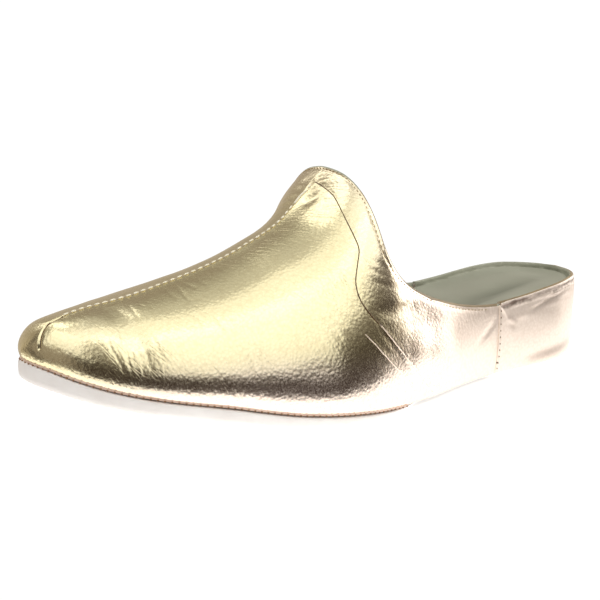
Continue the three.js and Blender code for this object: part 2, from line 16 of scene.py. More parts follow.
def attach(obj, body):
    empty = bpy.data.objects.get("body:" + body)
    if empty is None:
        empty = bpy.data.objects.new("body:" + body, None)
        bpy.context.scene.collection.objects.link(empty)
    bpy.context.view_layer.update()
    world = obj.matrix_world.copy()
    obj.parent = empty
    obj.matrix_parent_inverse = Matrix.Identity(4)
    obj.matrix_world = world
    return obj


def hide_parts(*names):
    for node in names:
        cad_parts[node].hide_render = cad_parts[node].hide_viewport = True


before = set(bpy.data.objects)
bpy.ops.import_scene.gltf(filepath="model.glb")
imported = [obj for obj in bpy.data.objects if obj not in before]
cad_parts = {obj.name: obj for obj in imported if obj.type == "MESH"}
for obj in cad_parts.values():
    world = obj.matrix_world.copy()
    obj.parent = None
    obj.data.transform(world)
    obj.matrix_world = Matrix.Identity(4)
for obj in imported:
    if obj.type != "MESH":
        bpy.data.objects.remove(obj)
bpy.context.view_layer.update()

MM = 0.001                  # a millimetre in Blender's metres

# Places, in millimetres.
SEAM_X = 33.4               # the seam between the upper and the heel cover
COLLAR_LOW = 30.6           # every point of the collar's edge lies above this
COLLAR_START_Z = 31.4       # the collar's height at the heel seam
TONGUE_BACK_X = 92.0        # the collar runs low behind this, and up the tongue in front of it
FEATHER_BACK_X = 86.0       # the sole's seam is stitched in front of this
WAIST_X = 60.0              # creases in front of this are on both sides of the foot
HOLLOW_FRONT = 198.0        # a line inside the foot's hollow, to tell outer from inner faces
HOLLOW_Y = -3.0
HOLLOW_HEIGHT = 12.0
FAR_SHIFT = (4.0, -7.0)     # a near crease's twin: how far forward, and the sum of their y
TWIN_FROM_Y = 12.0          # only the part of a crease beyond this has a twin
TWIN_SHARE = 0.8            # the twin's depth, as a share of the near crease's

# Stitching, in millimetres. A stitch's size is its length, width and height.
CENTRE_PITCH, CENTRE_STITCH = 2.9, (2.1, 0.95, 0.7)
FEATHER_PITCH, FEATHER_STITCH = 2.4, (0.85, 0.6, 0.55)
HEEL_SEAM_PITCH, HEEL_SEAM_STITCH = 2.6, (1.5, 0.85, 0.6)
HEEL_STITCH_TURN = 1.25     # radians that each heel seam stitch leans out of its row
TOPSTITCH_PITCH, TOPSTITCH = 2.0, (1.2, 0.35, 0.3)
TOPSTITCH_INSET = 2.2
WELT_RADIUS = 0.60
WELT_DROP = 0.2             # the welt lies this far under the outer leather's border
WELT_OUT, WELT_DOWN = 1.5, 0.5     # from the border to where the welt's stitches show

# Grooves that sewing presses into the leather: depth and half width, in millimetres.
COLLAR_SEAM_GROOVE = (0.22, 0.5)
TOE_SLIT_GROOVE = (0.55, 0.55)
TOPSTITCH_GROOVE = (0.26, 0.6)
EDGE_FADE = 1.4             # creases fade out over this width along the leather's border
FOLDED_EDGE = 1.3           # width of the thin dark line along the near collar
PAD_TROUGH = 1.2            # depth of the trough that the foot has pressed into the pad

# Unevenness of stretched leather: size of its waves and their depth, in millimetres.
UPPER_WAVES = [(21.0, 0.30), (9.0, 0.10)]
HEEL_WAVES = [(14.0, 0.16)]

FEATURE_ANGLE = math.radians(42)    # a sharper edge parts two regions of a CAD mesh
SHELL_AREA = 4000.0                 # square millimetres; only the upper's two skins are larger

# The slots of the leather pieces' materials.
OUTER, LINED, CUT = 0, 1, 2

# The centre seam from the toe's dark slit up to its last stitch at the tongue.
CENTRE_SEAM = [(206.5, 1.7, 43.3), (193.8, 1.3, 45.1), (184.0, 1.9, 46.5), (174.0, 1.9, 48.4),
               (164.0, 2.1, 50.4), (152.0, 1.9, 53.5), (141.0, 1.8, 57.1), (134.0, 1.4, 60.0),
               (129.0, 1.0, 62.2), (124.0, 0.0, 64.3), (118.0, -1.4, 67.5), (113.8, -2.8, 70.0),
               (108.6, -3.6, 74.2), (103.6, -3.7, 79.2)]

# The thread that closes the seam's end at the tongue, and the slit where the seam ends at the toe.
SEAM_END = [(110.5, -3.3, 72.6), (108.0, -3.7, 74.8), (105.4, -3.7, 77.4)]
TOE_SLIT = [(208.0, 1.7, 43.0), (213.0, 1.9, 41.0), (215.8, 2.8, 37.5), (217.2, 3.6, 33.5)]

# The dark seam of the collar band, from the centre seam down to the quarter.
COLLAR_SEAM = [(102.6, -1.8, 81.0), (102.5, 2.7, 79.7), (103.1, 9.2, 77.7), (103.7, 13.3, 75.6),
               (105.3, 21.6, 69.3), (105.6, 26.9, 64.1), (106.0, 30.5, 59.6), (108.9, 33.2, 54.1),
               (111.5, 36.1, 48.7), (111.4, 38.9, 43.0), (108.4, 41.5, 37.7), (105.0, 42.4, 34.0)]

# Two thin raised lines that run down the quarter from the collar seam.
QUARTER_LINE = [(105.5, 42.3, 34.5), (103.5, 42.5, 32.0), (96.5, 43.0, 24.0), (85.0, 41.0, 12.0),
                (77.0, 38.3, 4.5)]
QUARTER_LINE_SHORT = [(113.0, 43.5, 32.0), (105.0, 44.5, 23.5), (97.0, 44.0, 16.0), (90.0, 42.2, 10.5)]

# The seam between the upper and the heel cover, from the collar down to the sole.
# Its stitches end a little higher up.
HEEL_SEAM = [(SEAM_X, 28.2, 30.6), (SEAM_X, 28.3, 20.0), (SEAM_X, 28.0, 10.0), (SEAM_X, 26.8, 1.6)]
HEEL_STITCHES = HEEL_SEAM[:2] + [(SEAM_X, 28.0, 4.0)]

# Creases of the upper: path, depth of the trough (a ridge is negative) and half width. The first two
# are broad forms, the hollow behind the toe puff and the swell of the quarter. Then come the toe's
# creases, the vamp's, the quarter's, the gathers round the end of the centre seam, those on the far
# side of the tongue and one fold beside the heel seam.
CREASES = [
    ([(192.0, 4.5, 45.0), (192.0, 12.0, 42.5), (191.0, 20.0, 37.0), (190.0, 24.5, 31.5)], 1.15, 5.2),
    ([(83.0, 41.0, 32.0), (83.0, 42.0, 20.0), (82.0, 41.0, 10.0)], -1.1, 12.0),
    ([(194.0, 13.0, 42.0), (195.0, 20.5, 36.0), (194.5, 25.0, 25.5)], 0.11, 0.45),
    ([(193.0, 16.5, 40.5), (192.5, 22.5, 34.0), (191.5, 26.5, 25.5)], -0.07, 0.5),
    ([(199.5, 18.0, 36.0), (198.0, 22.0, 31.0), (196.0, 24.5, 25.5)], 0.10, 0.45),
    ([(197.0, 17.0, 38.0), (196.3, 21.5, 32.5), (195.0, 25.0, 27.0)], -0.06, 0.4),
    ([(190.0, 21.0, 37.5), (189.0, 25.0, 32.0), (188.5, 28.0, 26.0)], 0.08, 0.45),
    ([(203.0, 14.0, 37.0), (202.5, 17.5, 32.5), (201.0, 20.5, 27.5)], 0.08, 0.45),
    ([(186.0, 22.5, 38.0), (185.0, 26.0, 33.5), (184.0, 29.0, 27.5)], 0.06, 0.5),
    ([(199.0, 11.0, 41.5), (199.0, 16.5, 38.0), (199.0, 20.5, 33.0)], 0.07, 0.45),
    ([(164.5, 4.5, 50.8), (164.5, 8.0, 49.5), (163.0, 14.0, 48.5)], 0.18, 0.7),
    ([(167.5, 4.5, 50.2), (168.0, 9.0, 49.0), (168.5, 15.0, 47.0), (168.0, 19.0, 45.0)], 0.18, 0.7),
    ([(171.5, 4.5, 49.2), (172.0, 10.0, 47.8), (172.0, 15.0, 46.0)], 0.12, 0.7),
    ([(161.0, 4.5, 51.5), (160.0, 9.0, 50.5), (159.0, 15.0, 49.0)], 0.10, 0.7),
    ([(186.0, 4.5, 46.2), (187.0, 10.5, 44.5), (187.0, 16.5, 42.0)], 0.10, 0.7),
    ([(182.5, 4.5, 47.0), (183.5, 10.0, 45.5), (183.5, 14.5, 43.8)], 0.08, 0.7),
    ([(190.5, 5.0, 45.2), (191.0, 9.0, 44.0), (191.0, 14.0, 42.0)], 0.06, 0.7),
    ([(169.0, 22.5, 42.5), (168.5, 26.5, 39.5), (168.5, 29.5, 36.0)], 0.13, 0.7),
    ([(172.5, 22.5, 41.5), (172.0, 26.0, 38.5), (171.5, 28.5, 35.5)], 0.10, 0.7),
    ([(163.5, 26.0, 41.3), (162.5, 28.5, 39.0), (161.5, 31.0, 36.0)], 0.12, 0.7),
    ([(157.0, 35.0, 32.5), (156.0, 36.5, 28.5), (154.5, 38.5, 24.5)], 0.10, 0.7),
    ([(138.0, 22.0, 51.5), (138.0, 25.0, 49.5), (137.5, 28.0, 47.0)], 0.10, 0.7),
    ([(134.5, 33.0, 43.5), (132.5, 37.0, 38.5), (130.0, 41.0, 32.5)], 0.14, 0.7),
    ([(129.5, 30.5, 48.0), (124.5, 37.0, 42.0), (118.0, 42.5, 34.5)], 0.17, 0.7),
    ([(114.5, 31.0, 54.0), (114.0, 35.0, 49.0), (113.0, 38.0, 44.5)], 0.10, 0.7),
    ([(127.5, 38.5, 39.0), (125.5, 41.0, 35.0), (122.5, 43.0, 31.0)], 0.13, 0.7),
    ([(139.5, 36.5, 37.0), (138.0, 39.0, 33.0), (136.0, 41.0, 29.5)], 0.10, 0.7),
    ([(105.0, 32.5, 57.0), (100.0, 35.5, 54.5), (95.0, 36.0, 51.5)], 0.20, 0.9),
    ([(106.0, 34.0, 54.0), (102.0, 36.3, 52.2), (97.0, 36.6, 49.8)], 0.18, 0.8),
    ([(104.5, 37.0, 49.0), (99.5, 38.2, 47.5), (94.0, 37.6, 45.8)], 0.18, 0.9),
    ([(106.0, 41.3, 38.5), (95.0, 40.0, 37.3), (82.5, 36.0, 38.0)], 0.55, 2.4),
    ([(98.0, 39.8, 41.6), (91.5, 38.3, 41.2), (85.0, 35.8, 42.0)], -0.18, 1.5),
    (QUARTER_LINE, -0.26, 0.55),
    ([(106.5, 42.6, 33.0), (101.8, 43.0, 28.0), (94.5, 43.0, 20.0), (84.0, 40.5, 9.0)], 0.20, 0.7),
    (QUARTER_LINE_SHORT, -0.18, 0.55),
    ([(112.0, 8.0, 69.5), (115.0, 14.0, 64.5), (118.0, 19.0, 60.5)], 0.14, 1.2),
    ([(106.5, -3.6, 76.3), (103.6, -3.7, 79.2), (101.5, -3.4, 81.5)], 0.55, 0.6),
    ([(104.0, -2.0, 79.5), (101.8, 1.0, 81.3), (100.5, 5.0, 82.0)], -0.32, 1.3),
    ([(101.6, -2.5, 82.0), (100.0, 2.0, 83.3), (99.0, 6.5, 83.2)], 0.22, 0.9),
    ([(110.0, 0.0, 72.8), (107.5, 2.5, 75.0), (105.0, 4.0, 77.6)], 0.50, 2.4),
    ([(102.5, -6.0, 80.5), (101.0, -11.0, 79.5), (99.5, -16.0, 77.0)], 0.30, 0.7),
    ([(108.5, -6.5, 75.0), (107.5, -13.0, 73.0), (106.5, -18.0, 70.0)], 0.30, 0.8),
    ([(111.0, -6.0, 72.5), (110.0, -13.0, 70.5), (109.5, -18.0, 67.0)], 0.28, 0.8),
    ([(113.5, -6.0, 70.8), (113.0, -13.0, 68.5), (112.5, -18.0, 65.0)], 0.24, 0.8),
    ([(105.5, -6.5, 77.6), (104.0, -13.0, 76.0), (103.0, -18.0, 73.0)], 0.28, 0.8),
    ([(116.5, -5.0, 68.8), (116.0, -12.0, 66.8), (115.5, -16.0, 64.0)], 0.18, 0.8),
    ([(35.5, 28.5, 26.0), (39.5, 29.0, 21.5), (47.5, 30.5, 16.5)], 0.22, 1.4),
]

# The long fold under the heel cover's rim, which is also darkened with painted shade.
RIM_FOLD = [(17.0, 27.8, 25.0), (8.0, 27.8, 28.0), (-3.0, 27.0, 30.3), (-12.0, 23.5, 31.2)]

# The heel cover's soft folds: path, depth and half width.
HEEL_FOLDS = [
    ([(31.5, 27.8, 27.5), (24.0, 28.0, 28.0), (14.0, 27.8, 29.2), (2.0, 27.0, 30.5)], 0.30, 0.9),
    ([(31.0, 27.8, 23.6), (22.0, 28.0, 24.2), (13.0, 28.0, 25.4)], -0.22, 1.2),
    ([(32.0, 28.0, 30.0), (30.0, 28.0, 27.0), (28.0, 28.0, 24.5)], 0.45, 0.9),
    ([(30.0, 28.0, 24.0), (26.5, 28.0, 21.5), (24.0, 28.0, 20.0)], 0.35, 1.3),
    ([(20.0, 27.5, 6.0), (4.0, 27.0, 7.0), (-14.0, 21.5, 9.0)], 0.50, 2.2),
    (RIM_FOLD, 0.50, 1.3),
    ([(16.0, 28.0, 27.0), (2.0, 27.0, 25.5), (-10.0, 24.0, 26.0)], 0.25, 1.6),
    ([(8.0, 27.0, 10.0), (-4.0, 25.5, 12.0), (-14.0, 20.5, 14.0)], 0.12, 3.0),
    ([(31.5, -27.8, 25.0), (20.0, -28.0, 26.5), (4.0, -27.5, 28.0)], 0.36, 1.3),
    ([(30.5, -28.0, 23.5), (26.0, -28.0, 21.0), (22.0, -28.0, 20.0)], 0.30, 1.3),
    ([(-18.5, 18.0, 27.0), (-25.0, 5.0, 26.0), (-25.5, -8.0, 26.5)], 0.18, 2.0),
]

# Painted shade that darkens the heel cover's foil in its folds and at its bottom back edge: path, how much,
# and half width.
HEEL_PAINTED_SHADE = [
    (RIM_FOLD, 0.42, 1.3),
    ([(16.0, 27.5, 5.0), (2.0, 27.0, 6.0), (-15.0, 21.0, 8.0)], 0.48, 2.4),
    ([(27.5, 28.0, 24.5), (25.0, 28.0, 23.0), (22.5, 28.0, 22.5)], 0.50, 1.0),
]
# The darkest that the painted shade gets.
MOST_PAINTED_SHADE = 0.85

# Under the rim the heel cover is gathered. A groove winds along there, with small pleats below it.
# For each: how far under the rim it lies, its half width and its depth.
RIM_GROOVE = (2.0, 0.65, 0.26)
RIM_PLEATS = (2.9, 1.1, 0.14)
RIM_DROP = 6.0              # the rim's own faces lie no further below its edge than this

# The rim's height along the heel, and how much painted shade darkens the foil under it. Distance along the
# rim is x on the straight sides and goes on round the back below BACK_X.
RIM_ROWS = [(-28.0, 36.5), (-13.1, 36.35), (-0.7, 35.2), (8.3, 34.05), (19.2, 32.6), (33.2, 31.4)]
RIM_SHADE_SHARE = [(-50.0, 0.2), (-34.0, 0.5), (-22.0, 0.8), (-12.0, 0.65), (-2.0, 0.4), (8.0, 0.25), (15.0, 0.4),
           (20.0, 0.75), (27.0, 0.95), (31.0, 0.85), (33.4, 0.3)]
BACK_X = -2.0
BACK_RADIUS = 28.0

# The footbed's soft forms: path, depth and half width.
PAD_FORMS = [
    ([(62.0, 20.0, 24.0), (44.0, 13.0, 28.0), (18.0, 7.0, 31.0), (-10.0, 4.0, 33.0)], PAD_TROUGH, 4.2),
    ([(40.0, 24.0, 29.0), (16.0, 18.0, 31.0), (-8.0, 14.0, 33.0)], -0.7, 3.6),
]


# Mesh helpers.
def piece_from(bm, name, materials):
    """An object with smooth faces from a bmesh, linked to the scene. It sits at the origin."""
    mesh = bpy.data.meshes.new(name)
    bm.to_mesh(mesh)
    bm.free()
    mesh.polygons.foreach_set("use_smooth", [True] * len(mesh.polygons))
    for material in materials:
        mesh.materials.append(material)
    obj = bpy.data.objects.new(name, mesh)
    bpy.context.scene.collection.objects.link(obj)
    return obj


def merged_copy(node):
    """A node's mesh with its doubles merged and its triangles joined to quads."""
    bm = bmesh.new()
    bm.from_mesh(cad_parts[node].data)
    bmesh.ops.remove_doubles(bm, verts=bm.verts, dist=0.02 * MM)
    bmesh.ops.join_triangles(bm, faces=bm.faces, angle_face_threshold=math.radians(35),
                             angle_shape_threshold=math.radians(70))
    bm.normal_update()
    return bm


def face_regions(bm):
    """Groups of faces that meet without a sharp edge between them."""
    seen = set()
    regions = []
    for start in bm.faces:
        if start.index in seen:
            continue
        seen.add(start.index)
        region, queue = [], [start]
        while queue:
            face = queue.pop()
            region.append(face)
            for edge in face.edges:
                if len(edge.link_faces) != 2 or edge.calc_face_angle(0.0) > FEATURE_ANGLE:
                    continue
                for other in edge.link_faces:
                    if other.index not in seen:
                        seen.add(other.index)
                        queue.append(other)
        regions.append(region)
    return regions


def subdivided(bm, levels):
    """The mesh after Catmull-Clark subdivision. The end faces at the heel seam keep their edges."""
    sharp = bm.edges.layers.float.new("crease_edge")
    for edge in bm.edges:
        if all(abs(v.co.x / MM - SEAM_X) < 0.6 for v in edge.verts):
            edge[sharp] = 1.0
    mesh = bpy.data.meshes.new("work")
    bm.to_mesh(mesh)
    bm.free()
    obj = bpy.data.objects.new("work", mesh)
    bpy.context.scene.collection.objects.link(obj)
    modifier = obj.modifiers.new("smooth", "SUBSURF")
    modifier.levels = modifier.render_levels = levels
    graph = bpy.context.evaluated_depsgraph_get()
    result = bmesh.new()
    result.from_mesh(obj.evaluated_get(graph).to_mesh())
    bpy.data.objects.remove(obj)
    return result


def coordinates(bm):
    """Every vertex's place in millimetres, and its normal."""
    bm.normal_update()
    points = np.array([v.co for v in bm.verts]) / MM
    normals = np.array([v.normal for v in bm.verts])
    return points, normals


def near_path(points, path):
    """Distance of each point to a path and how far along the path it is nearest, 0 to 1."""
    path = np.array(path, float)
    steps = np.linalg.norm(np.diff(path, axis=0), axis=1)
    start = np.concatenate([[0.0], np.cumsum(steps)])
    best = np.full(len(points), 1e9)
    along = np.zeros(len(points))
    for a, b, step, begin in zip(path[:-1], path[1:], steps, start[:-1]):
        run = (b - a) / step
        t = np.clip((points - a) @ run, 0, step)
        gap = np.linalg.norm(points - a - t[:, None] * run, axis=1)
        closer = gap < best
        best[closer] = gap[closer]
        along[closer] = (begin + t[closer]) / start[-1]
    return best, along


def crease(points, tree, path, depth, half):
    """How far a soft trough along a path on the surface lowers each point. It fades at both ends."""
    path = np.array([place / MM for place, _ in on_surface(tree, smooth_path(path, 2.0))])
    near = np.all((points > path.min(0) - 3.5 * half) & (points < path.max(0) + 3.5 * half), axis=1)
    fall = np.zeros(len(points))
    if near.any():
        gap, along = near_path(points[near], path)
        ends = np.sqrt(np.clip(np.sin(math.pi * np.clip(along, 0.02, 0.98)), 0, 1))
        fall[near] = depth * ends * np.exp(-((gap / half) ** 2))
    return fall


def groove(points, path, depth, half):
    """How far a groove along a fine path lowers each point, with the same depth from end to end."""
    gap, _ = near_path(points, path)
    return depth * np.exp(-((gap / half) ** 2))


def undulation(points, waves):
    """Soft unevenness of stretched leather, from rows of wave size and depth."""
    return sum(depth * np.array([noise.noise(Vector(p / size)) for p in points]) for size, depth in waves)


def smooth_path(path, pitch):
    """A path through the given points at an even pitch, rounded between them."""
    p = np.array(path, float)
    p = np.vstack([2 * p[0] - p[1], p, 2 * p[-1] - p[-2]])
    fine = []
    for i in range(1, len(p) - 2):
        for t in np.linspace(0, 1, 12, endpoint=False):
            fine.append(0.5 * (2 * p[i] + (p[i + 1] - p[i - 1]) * t
                               + (2 * p[i - 1] - 5 * p[i] + 4 * p[i + 1] - p[i + 2]) * t ** 2
                               + (3 * p[i] - p[i - 1] - 3 * p[i + 1] + p[i + 2]) * t ** 3))
    fine.append(p[-2])
    fine = np.array(fine)
    far = np.concatenate([[0.0], np.cumsum(np.linalg.norm(np.diff(fine, axis=0), axis=1))])
    count = max(2, int(round(far[-1] / pitch)) + 1)
    wanted = np.linspace(0, far[-1], count)
    return np.stack([np.interp(wanted, far, fine[:, k]) for k in range(3)], axis=1)


def move_in(bm, normals, depth):
    """Lowers each vertex along its normal by a depth in millimetres."""
    for vert, normal, amount in zip(bm.verts, normals, depth):
        if amount:
            vert.co -= Vector(normal) * float(amount) * MM


def tree_of(obj):
    """A search tree of an object's faces."""
    bm = bmesh.new()
    bm.from_mesh(obj.data)
    tree = BVHTree.FromBMesh(bm)
    bm.free()
    return tree


def on_surface(tree, path):
    """Each point of a path moved onto the surface, with the surface's normal there."""
    spots = []
    for p in path:
        place, normal, _, _ = tree.find_nearest(Vector(p) * MM)
        spots.append((place, normal))
    return spots


def stitch_row(name, tree, path, pitch, size, material, lift=0.0, turn=0.0):
    """Short threads in a row along a path. Size is each one's length, width and height."""
    spots = on_surface(tree, smooth_path(path, pitch))
    bm = bmesh.new()
    for i, (place, normal) in enumerate(spots):
        before, after = spots[max(i - 1, 0)][0], spots[min(i + 1, len(spots) - 1)][0]
        run = after - before
        run = (run - normal * run.dot(normal)).normalized()
        side = normal.cross(run)
        spin = Matrix.Rotation(turn, 3, normal)
        axes = Matrix((spin @ run, spin @ side, normal)).transposed().to_4x4()
        scale = Matrix.Diagonal((size[0] / 2 * MM, size[1] / 2 * MM, size[2] / 2 * MM, 1))
        matrix = Matrix.Translation(place + normal * lift * MM) @ axes @ scale
        bmesh.ops.create_uvsphere(bm, u_segments=8, v_segments=6, radius=1, matrix=matrix)
    bmesh.ops.recalc_face_normals(bm, faces=bm.faces)
    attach(piece_from(bm, name, [material]), "root")


def thread_line(name, tree, path, radius, material, sink=0.0):
    """A thread that lies along a path on the surface."""
    spots = on_surface(tree, smooth_path(path, 0.8))
    curve = bpy.data.curves.new(name, "CURVE")
    curve.dimensions = "3D"
    curve.bevel_depth = radius * MM
    curve.bevel_resolution = 2
    curve.use_fill_caps = True
    spline = curve.splines.new("POLY")
    spline.points.add(len(spots) - 1)
    for point, (place, normal) in zip(spline.points, spots):
        point.co = (*(place - normal * sink * MM), 1)
    work = bpy.data.objects.new("work", curve)
    bpy.context.scene.collection.objects.link(work)
    graph = bpy.context.evaluated_depsgraph_get()
    bm = bmesh.new()
    bm.from_mesh(work.evaluated_get(graph).to_mesh())
    bpy.data.objects.remove(work)
    bmesh.ops.remove_doubles(bm, verts=bm.verts, dist=0.001 * MM)
    bmesh.ops.recalc_face_normals(bm, faces=bm.faces)
    obj = piece_from(bm, name, [material])
    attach(obj, "root")
    return obj


# Material helpers.
def linear(code):
    """A linear colour from an sRGB hex value."""
    parts = [int(code[i:i + 2], 16) / 255 for i in (0, 2, 4)]
    return (*[c / 12.92 if c <= 0.04045 else ((c + 0.055) / 1.055) ** 2.4 for c in parts], 1.0)


def add(tree, kind, settings=None, stops=(), **links):
    """Adds a node. Its settings are set, its inputs are linked or given values, its stops coloured.

    An input is named by its label, with _ for a space, or by n and its number.
    """
    node = tree.nodes.new("ShaderNode" + kind)
    for key, value in (settings or {}).items():
        setattr(node, key, value)
    for key, value in links.items():
        label = key.replace("_", " ")
        numbered = label[0] == "n" and label[1:].isdigit()
        socket = node.inputs[int(label[1:])] if numbered else node.inputs[label]
        if isinstance(value, bpy.types.NodeSocket):
            tree.links.new(value, socket)
        else:
            socket.default_value = value
    if stops:
        elements = node.color_ramp.elements
        while len(elements) < len(stops):
            elements.new(0.5)
        for element, (place, code) in zip(elements, stops):
            element.position = place
            element.color = linear(code)
    return node


WAVE_TURN = 2 * math.pi / 20        # how far apart a wave texture's bands are at a scale of 1


def per(size):
    """A pattern's scale for features of a size in millimetres."""
    return 1.0 / (size * MM)


def new_material(name):
    """A material with an empty principled shader, and the place of each point on the piece."""
    material = bpy.data.materials.new(name)
    material.use_nodes = True
    tree = material.node_tree
    tree.nodes.clear()
    shader = add(tree, "BsdfPrincipled")
    add(tree, "OutputMaterial", Surface=shader.outputs["BSDF"])
    place = add(tree, "TexCoord").outputs["Object"]
    return material, tree, shader, place


def connect(tree, shader, **sockets):
    """Links the shader's sockets to a material's last nodes."""
    for key, value in sockets.items():
        tree.links.new(value, shader.inputs[key.replace("_", " ")])


# Settings that several nodes share.
SMOOTH = {"interpolation_type": "SMOOTHSTEP"}
TIMES = {"operation": "MULTIPLY"}
TIMES_PLUS = {"operation": "MULTIPLY_ADD"}
TIMES_PLUS_CLAMPED = {"operation": "MULTIPLY_ADD", "use_clamp": True}
MINUS = {"operation": "SUBTRACT"}
DOT = {"operation": "DOT_PRODUCT"}
COLOUR_MIX = {"data_type": "RGBA"}
COLOUR_TIMES = {"data_type": "RGBA", "blend_type": "MULTIPLY"}


def foil_leather(name, gold_share, grain_depth, pearl_share):
    """Sheep leather laminated with metal foil and milled.

    To the eye it is a bright, slightly broken mirror over a fine pebbled grain, champagne gold on the
    foot and pale rose low on the wall and towards the heel, where the foil is thin and pearly.
    """
    material, tree, shader, place = new_material(name)
    axes = add(tree, "SeparateXYZ", n0=place)
    x, y, z = (axes.outputs[axis] for axis in "XYZ")
    # Gold comes in from 12 to 30 mm above the floor, and from 74 to 112 mm in front of the heel seat.
    low = add(tree, "MapRange", SMOOTH, n0=z, n1=0.012, n2=0.030, n3=0.0, n4=1.0).outputs[0]
    back = add(tree, "MapRange", SMOOTH, n0=x, n1=0.074, n2=0.112, n3=0.0, n4=1.0).outputs[0]
    cloud = add(tree, "TexNoise", Vector=place, Scale=per(34), Detail=2.0).outputs[0]
    drift = add(tree, "Math", TIMES_PLUS, n0=cloud, n1=0.5, n2=-0.25).outputs[0]
    share = add(tree, "Math", TIMES_PLUS_CLAMPED, n0=low, n1=back, n2=drift).outputs[0]
    share = add(tree, "Math", TIMES, n0=share, n1=gold_share).outputs[0]
    colour = add(tree, "ValToRGB", stops=[(0.0, "FFF0E3"), (0.45, "F5E8D2"), (1.0, "F0E6BC")],
                 n0=share).outputs[0]
    # Real grain is about 0.5 mm wide. It is drawn at 1.2 mm so that it shows.
    grain = add(tree, "TexVoronoi", {"feature": "SMOOTH_F1"}, Vector=place, Scale=per(1.2),
                Smoothness=0.5, Randomness=1.0).outputs["Distance"]
    fine = add(tree, "TexNoise", Vector=place, Scale=per(0.7), Detail=3.0).outputs[0]
    # Drag lines 3.2 mm apart run round the foot, lean back as they go down and come in patches.
    across = add(tree, "VectorMath", DOT, n0=place, n1=(1.0, 0.5, -0.41)).outputs["Value"]
    slow_y = add(tree, "Math", TIMES, n0=y, n1=0.13).outputs[0]
    slow_z = add(tree, "Math", TIMES, n0=z, n1=0.13).outputs[0]
    drawn = add(tree, "CombineXYZ", n0=across, n1=slow_y, n2=slow_z).outputs[0]
    drag = add(tree, "TexNoise", Vector=drawn, Scale=per(3.2), Detail=2.0, Roughness=0.6).outputs[0]
    line = add(tree, "Math", MINUS, n0=drag, n1=0.5).outputs[0]
    line = add(tree, "Math", {"operation": "ABSOLUTE"}, n0=line).outputs[0]
    line = add(tree, "MapRange", SMOOTH, n0=line, n1=0.0, n2=0.035, n3=0.0, n4=1.0).outputs[0]
    patch = add(tree, "TexNoise", Vector=place, Scale=per(26), Detail=1.0).outputs[0]
    shown = add(tree, "MapRange", n0=patch, n1=0.46, n2=0.60, n3=0.0, n4=1.0).outputs[0]
    lines = add(tree, "Math", TIMES, n0=line, n1=shown).outputs[0]
    # The foil is darker between the pebbles of the grain.
    between = add(tree, "ValToRGB", stops=[(0.0, "FFFFFF"), (1.0, "B9A58A")], n0=grain).outputs[0]
    colour = add(tree, "Mix", COLOUR_TIMES, n0=0.25, n6=colour, n7=between).outputs[2]
    # Painted shade: the heel cover's foil is painted dark brown under its rim, in its folds and at its bottom
    # back edge.
    painted_shade = add(tree, "Attribute", {"attribute_name": "painted_shade"}).outputs["Fac"]
    colour = add(tree, "Mix", COLOUR_MIX, n0=painted_shade, n6=colour, n7=linear("5C4232")).outputs[2]
    height = add(tree, "Math", TIMES, n0=fine, n1=0.3).outputs[0]
    height = add(tree, "Math", TIMES_PLUS, n0=grain, n1=-0.6, n2=height).outputs[0]
    height = add(tree, "Math", TIMES_PLUS, n0=lines, n1=0.28, n2=height).outputs[0]
    bump = add(tree, "Bump", Strength=0.6, Distance=grain_depth * MM, Height=height).outputs[0]
    # Pearl comes in from 84 back to 46 mm in front of the heel seat: the foil is rougher there, and
    # lets the leather show.
    pearl = add(tree, "MapRange", SMOOTH, n0=x, n1=0.046, n2=0.084, n3=1.0, n4=0.0).outputs[0]
    rough = add(tree, "MapRange", n0=fine, n1=0.3, n2=0.7, n3=0.20, n4=0.28).outputs[0]
    rough = add(tree, "Math", TIMES_PLUS, n0=pearl, n1=0.13, n2=rough).outputs[0]
    metal = add(tree, "Math", TIMES_PLUS, n0=pearl, n1=-pearl_share, n2=1.0).outputs[0]
    connect(tree, shader, Metallic=metal, Base_Color=colour, Normal=bump, Roughness=rough)
    return material


def dyed_leather(name, light, dark, roughness, pore_size, depth):
    """Leather that was dyed through and plated: an even satin with small pores and a faint mottle."""
    material, tree, shader, place = new_material(name)
    mottle = add(tree, "TexNoise", Vector=place, Scale=per(18), Detail=4.0).outputs[0]
    colour = add(tree, "ValToRGB", stops=[(0.3, dark), (0.7, light)], n0=mottle).outputs[0]
    pores = add(tree, "TexVoronoi", {"feature": "SMOOTH_F1"}, Vector=place, Scale=per(pore_size),
                Smoothness=0.5).outputs["Distance"]
    fine = add(tree, "TexNoise", Vector=place, Scale=per(pore_size * 0.4), Detail=2.0).outputs[0]
    height = add(tree, "Math", TIMES, n0=fine, n1=0.4).outputs[0]
    height = add(tree, "Math", TIMES_PLUS, n0=pores, n1=-0.6, n2=height).outputs[0]
    bump = add(tree, "Bump", Strength=0.4, Distance=depth * MM, Height=height).outputs[0]
    rough = add(tree, "MapRange", n0=mottle, n1=0.3, n2=0.7, n3=roughness - 0.04,
                n4=roughness + 0.05).outputs[0]
    # Painted shade: where the foot has pressed the pad down, the leather is painted darker.
    painted_trough_shade = add(tree, "Attribute", {"attribute_name": "painted_trough_shade"}).outputs["Fac"]
    painted_trough_shade = add(tree, "Math", TIMES, n0=painted_trough_shade, n1=0.75).outputs[0]
    colour = add(tree, "Mix", COLOUR_MIX, n0=painted_trough_shade, n6=colour, n7=linear("5C6150")).outputs[2]
    connect(tree, shader, Base_Color=colour, Normal=bump, Roughness=rough)
    shader.inputs["Sheen Weight"].default_value = 0.08
    return material


